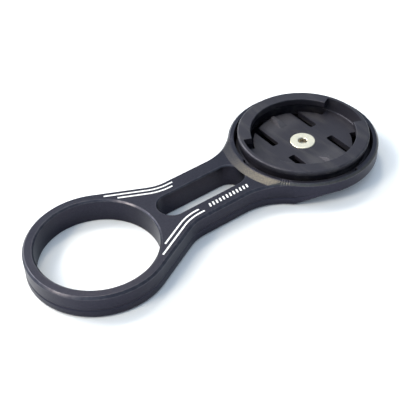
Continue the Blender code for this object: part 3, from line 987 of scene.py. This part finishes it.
class Graph:
    """A node tree, with short calls that add nodes; values are numbers or sockets."""

    def __init__(self, tree):
        self.tree = tree

    def node(self, kind, inputs=None, **settings):
        made = self.tree.nodes.new(kind)
        for name, value in settings.items():
            setattr(made, name, value)
        for key, value in (inputs or {}).items():
            self.put(made.inputs[key], value)
        return made

    def put(self, socket, value):
        if isinstance(value, bpy.types.NodeSocket):
            self.tree.links.new(value, socket)
        else:
            socket.default_value = value

    def calc(self, operation, *values):
        inputs = dict(enumerate(values))
        return self.node("ShaderNodeMath", inputs, operation=operation).outputs[0]

    def product(self, first, *others):
        result = first
        for other in others:
            result = self.calc("MULTIPLY", result, other)
        return result

    def weighted(self, start, *terms):
        """A start value plus each (value, weight) term."""
        result = start
        for value, weight in terms:
            result = self.calc("ADD", result, self.product(value, weight))
        return result

    def ramp(self, value, low, high, out_low=0.0, out_high=1.0):
        """Smooth step of a value from low to high."""
        return self.node("ShaderNodeMapRange",
                         {"Value": value, "From Min": low, "From Max": high,
                          "To Min": out_low, "To Max": out_high},
                         interpolation_type="SMOOTHSTEP").outputs["Result"]

    def between(self, value, low, high, soft):
        """1 inside a band, fading out over soft."""
        rise = self.ramp(value, low - soft, low + soft)
        return self.product(rise, self.ramp(value, high - soft, high + soft, 1.0, 0.0))

    def mix(self, factor, first, second):
        """Colour between two others, which are sockets or (red, green, blue)."""
        first, second = (value if isinstance(value, bpy.types.NodeSocket) else (*value, 1.0)
                         for value in (first, second))
        return self.node("ShaderNodeMix", {0: factor, 6: first, 7: second},
                         data_type="RGBA").outputs[2]


class Coat(Graph):
    """A material, with textures in the object's own coordinates."""

    def __init__(self, name):
        self.material = bpy.data.materials.new(name)
        self.material.use_nodes = True
        super().__init__(self.material.node_tree)
        self.shader = self.tree.nodes["Principled BSDF"]
        self.where = self.node("ShaderNodeTexCoord").outputs["Object"]
        self.x, self.y, self.z = self.node("ShaderNodeSeparateXYZ", {0: self.where}).outputs

    def set(self, **inputs):
        """Sets inputs of the shader; a name's underscores stand for spaces."""
        for name, value in inputs.items():
            self.put(self.shader.inputs[name.replace("_", " ")], value)
        return self.material

    def tint(self, base, colour, *amounts):
        """A base with a colour laid over it, by the amounts multiplied together."""
        return self.mix(self.product(*amounts), base, colour)

    def noise(self, scale, detail=2.0, roughness=0.5, where=None):
        return self.node("ShaderNodeTexNoise", {"Vector": where or self.where, "Scale": scale,
                                                "Detail": detail,
                                                "Roughness": roughness}).outputs["Fac"]

    def ripples(self, distance, shift, pitch):
        """Fine parallel lines: a sine of a distance, shifted by another value."""
        return self.calc("SINE", self.product(self.calc("ADD", distance, shift), TURN / pitch))

    def axis_distance(self, centre_x):
        """Distance from a vertical axis."""
        x = self.calc("SUBTRACT", self.x, centre_x)
        return self.calc("SQRT", self.calc("ADD", self.product(x, x),
                                           self.product(self.y, self.y)))

    def bumps(self, *layers):
        """Normal roughened by layers of (height, strength, depth)."""
        inputs = {}
        for height, strength, depth in layers:
            inputs.update({"Height": height, "Strength": strength, "Distance": depth})
            inputs["Normal"] = self.node("ShaderNodeBump", inputs).outputs["Normal"]
        return inputs["Normal"]


def turned_lines(coat, head_distance, on_top):
    """Tool marks in the bore, and fainter ones on the slope round the cup."""
    in_bore = coat.ramp(coat.axis_distance(RING_X), BORE_RADIUS + 0.05 * MM,
                        BORE_RADIUS + 0.2 * MM, 1.0, 0.0)
    near_cup = coat.between(head_distance, CUP_RADIUS - 0.9 * MM, SLOPE_BASE_RADIUS, 0.1 * MM)
    wander = coat.product(coat.noise(700), 0.25 * MM)
    bore_lines = coat.ripples(coat.z, wander, BORE_LINE_PITCH)
    slope_lines = coat.ripples(head_distance, wander, SLOPE_LINE_PITCH)
    return coat.calc("ADD", coat.product(bore_lines, in_bore),
                     coat.product(slope_lines, near_cup, on_top, 0.25))


def anodised_material():
    """Satin black anodising over blasted and machined aluminium."""
    coat = Coat("black_anodised_aluminium")
    wear = coat.node("ShaderNodeAttribute", attribute_name="wear").outputs["Fac"]
    head_distance = coat.axis_distance(HEAD_X)
    on_top = coat.ramp(coat.z, RING_HEIGHT - 0.1 * MM, RING_HEIGHT + 0.02 * MM)
    cloud = coat.noise(180, 3.0)
    grain = coat.noise(5200)
    speck = coat.noise(2300, 1.0)

    faced = coat.ramp(coat.z, RING_HEIGHT - 0.1 * MM, RING_HEIGHT - 0.02 * MM)
    base = coat.mix(faced, coat.mix(cloud, *MILLED_BLACK), coat.mix(cloud, *FACED_BLACK))
    base = coat.tint(base, BLACK_SPECK, speck, 0.30)
    # Edges are handled more: there the black is thinner and smoother
    patchy = coat.ramp(coat.noise(900, 3.0), 0.35, 0.65)
    worn = coat.product(wear, coat.weighted(0.5, (patchy, 0.5)))
    base = coat.tint(base, WORN_BLACK, worn, 0.50)
    # Painted sheen: the milled slope is tinted a lighter beige, partly for its thinner anodising
    # and partly as a painted highlight, strongest on the arm's near side where the light falls
    on_slope = coat.between(head_distance, CUP_RADIUS - 0.4 * MM, SLOPE_BASE_RADIUS, 0.25 * MM)
    mottle = coat.ramp(coat.noise(2600, 3.0, 0.6), 0.15, 0.95, 0.25, 1.0)
    near_side_sheen = coat.ramp(coat.y, 7.0 * MM, -5.0 * MM, 0.35, 1.0)
    base = coat.tint(base, THIN_COAT_AND_PAINTED_SHEEN, on_slope, on_top, mottle, near_side_sheen)

    rough = coat.weighted(0.30, (cloud, 0.10), (grain, 0.10), (worn, -0.08))
    lines = turned_lines(coat, head_distance, on_top)
    normal = coat.bumps((grain, 0.35, 0.012 * MM), (speck, 0.25, 0.015 * MM),
                        (lines, 0.35, 0.004 * MM))
    return coat.set(Metallic=1.0, Base_Color=base, Roughness=rough, Normal=normal)


def lip_rub_and_highlight(coat):
    """How much the computer's foot has worn the lip's edges smooth; the same mask places a painted
    highlight along them.
    """
    distance = coat.axis_distance(HEAD_X)
    outer = coat.between(distance, LIP_RADIUS - 0.30 * MM, LIP_RADIUS + 0.1 * MM, 0.1 * MM)
    mouth = coat.between(distance, MOUTH_RADIUS - 0.1 * MM, MOUTH_RADIUS + 0.25 * MM, 0.1 * MM)
    high = coat.ramp(coat.z, INSERT_TOP - 0.45 * MM, INSERT_TOP - 0.1 * MM)
    patchy = coat.ramp(coat.noise(650, 3.0), 0.25, 0.75)
    return coat.product(coat.weighted(outer, (mouth, 0.6)), high, patchy)


def tongue_rubbing(coat):
    """How much the foot has swept over the tops of the tongues."""
    across = coat.calc("ABSOLUTE", coat.calc("SUBTRACT", coat.x, HEAD_X))
    along = coat.calc("ABSOLUTE", coat.y)
    floor_level = coat.between(coat.z, INSERT_FLOOR - 0.1 * MM,
                               INSERT_FLOOR + RIDGE_HEIGHT + 0.1 * MM, 0.05 * MM)
    return coat.product(coat.ramp(across, TONGUE_HALF_WIDTH, 4.0 * MM),
                        coat.ramp(along, 4.5 * MM, 8.5 * MM), floor_level)


def plastic_material():
    """Black glass-filled nylon with a fine spark-eroded texture and faint flow streaks."""
    coat = Coat("black_moulded_nylon")
    flow = coat.node("ShaderNodeMapping", {"Vector": coat.where,
                                           "Rotation": (0, 0, math.radians(35)),
                                           "Scale": (1.0, 0.22, 1.0)}).outputs[0]
    streak = coat.noise(420, 3.0, 0.6, flow)
    texture = coat.noise(3600, 3.0, 0.65)
    pebble = coat.node("ShaderNodeTexVoronoi", {"Vector": coat.where, "Scale": 4200}).outputs[0]
    rub_and_highlight = lip_rub_and_highlight(coat)

    base = coat.mix(coat.noise(260), *NYLON)
    base = coat.tint(base, NYLON_STREAK, coat.ramp(streak, 0.45, 0.75), 0.5)
    # Painted highlight: the lip's top edges are tinted lighter, on top of their real rubbing
    base = coat.tint(base, NYLON_RUB_AND_HIGHLIGHT, rub_and_highlight, 0.6)
    base = coat.tint(base, NYLON_SWEPT, tongue_rubbing(coat), 0.55)
    rough = coat.weighted(0.40, (texture, 0.14), (streak, 0.06), (rub_and_highlight, -0.14))
    normal = coat.bumps((texture, 0.45, 0.02 * MM), (pebble, 0.2, 0.015 * MM),
                        (streak, 0.25, 0.05 * MM))
    return coat.set(Base_Color=base, Roughness=rough, Normal=normal, IOR=1.46,
                    Specular_Tint=(*NYLON_SHEEN, 1.0))


def steel_material():
    """Bright plated steel with fine turned rings on the head, and painted shade in the socket."""
    coat = Coat("plated_steel")
    distance = coat.axis_distance(HEAD_X)
    haze = coat.noise(900, 3.0)
    # Painted shade: the socket's inside is darkened
    socket_shade = coat.ramp(distance, 1.15 * MM, 1.35 * MM, 1.0, 0.0)
    base = coat.tint(coat.mix(haze, *STEEL), STEEL_SOCKET_SHADE, socket_shade, 0.7)
    wander = coat.product(coat.noise(1500), 0.05 * MM)
    rings = coat.ripples(distance, wander, SCREW_LINE_PITCH)
    normal = coat.bumps((rings, 0.25, 0.002 * MM), (coat.noise(6000), 0.2, 0.006 * MM))
    return coat.set(Metallic=1.0, Base_Color=base, Normal=normal,
                    Roughness=coat.weighted(0.30, (haze, 0.14)))


def etched_material():
    """Bare laser-etched lines: matt, nearly white, with a fine hatch."""
    coat = Coat("laser_etched_white")
    mottle = coat.noise(2600, 3.0, 0.7)
    hatch = coat.ripples(coat.x, coat.y, HATCH_PITCH)
    return coat.set(Base_Color=coat.mix(mottle, *ETCHED_WHITE),
                    Roughness=coat.weighted(0.55, (mottle, 0.2)),
                    Normal=coat.bumps((hatch, 0.2, 0.004 * MM)))


def table_material():
    """Pale matt table top, very slightly uneven in tone."""
    coat = Coat("pale_table")
    return coat.set(Base_Color=coat.mix(coat.noise(60, 3.0), *TABLE), Roughness=0.7,
                    Specular_IOR_Level=0.2)


# Studio

def build_floor():
    """Plain pale table top."""
    shell = Shell()
    half = FLOOR_SIZE / 2
    plan = [(-half, -half), (half, -half), (half, half), (-half, half)]
    shell.face(shell.loop(at_height(plan, -FLOOR_GAP)))
    floor = shell.make("floor")
    floor.data.materials.append(table_material())


def softbox(name, direction, size, power, colour):
    """Square area light that faces the object."""
    data = bpy.data.lights.new(name, "AREA")
    data.shape = "SQUARE"
    data.size = size
    data.energy = power
    data.color = colour
    light = new_object(name, data)
    light.location = Vector(direction).normalized() * LIGHT_DISTANCE
    light.rotation_mode = "QUATERNION"
    light.rotation_quaternion = (-light.location).to_track_quat("-Z", "Y")


def build_lights():
    """A sky that is brightest on one side, and three softboxes."""
    world = bpy.data.worlds.new("soft_studio")
    bpy.context.scene.world = world
    world.use_nodes = True
    sky = Graph(world.node_tree)
    towards = sky.node("ShaderNodeVectorMath",
                       {0: sky.node("ShaderNodeTexCoord").outputs["Generated"],
                        1: Vector(SKY_BRIGHTEST_SIDE).normalized()},
                       operation="DOT_PRODUCT").outputs["Value"]
    colour = sky.mix(sky.ramp(towards, -0.10, 0.95), SKY_DIM, SKY_BRIGHT)
    sky.put(sky.tree.nodes["Background"].inputs["Color"], colour)
    for settings in SOFTBOXES:
        softbox(*settings)


def build_camera():
    """View from above the arm's ring end, with a long lens."""
    back = Vector((math.sin(CAMERA_AZIMUTH) * math.cos(CAMERA_ELEVATION),
                   -math.cos(CAMERA_AZIMUTH) * math.cos(CAMERA_ELEVATION),
                   math.sin(CAMERA_ELEVATION)))
    level_right = Vector((0, 0, 1)).cross(back).normalized()
    level_up = back.cross(level_right)
    right = level_right * math.cos(CAMERA_ROLL) + level_up * math.sin(CAMERA_ROLL)
    up = level_up * math.cos(CAMERA_ROLL) - level_right * math.sin(CAMERA_ROLL)
    data = bpy.data.cameras.new("camera")
    data.sensor_width = 36.0
    data.lens = CAMERA_LENS
    data.clip_start = 0.01
    camera = new_object("camera", data)
    turn = Matrix((right, up, back)).transposed().to_4x4()
    place = Matrix.Translation(Vector(CAMERA_TARGET) + back * CAMERA_DISTANCE)
    camera.matrix_world = place @ turn
    bpy.context.scene.camera = camera


build_camera()
build_lights()
build_floor()

anodised = anodised_material()
nylon = plastic_material()
steel = steel_material()
etched = etched_material()

finish_piece(build_arm(), anodised, "mount", "mount_arm")
finish_piece(build_insert(), nylon, "mount", "twist_lock_insert")
for tongue_side, tongue_turn in (("left", 0.0), ("right", math.pi)):
    tongue = build_tongue(tongue_side, tongue_turn)
    finish_piece(tongue, nylon, None, f"detent_tongue_{tongue_side}")
    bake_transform(tongue)
finish_piece(build_screw(), steel, "mount", "centre_screw")
finish_piece(build_accents(), etched, "mount", None)

bpy.context.scene.view_settings.view_transform = "Standard"
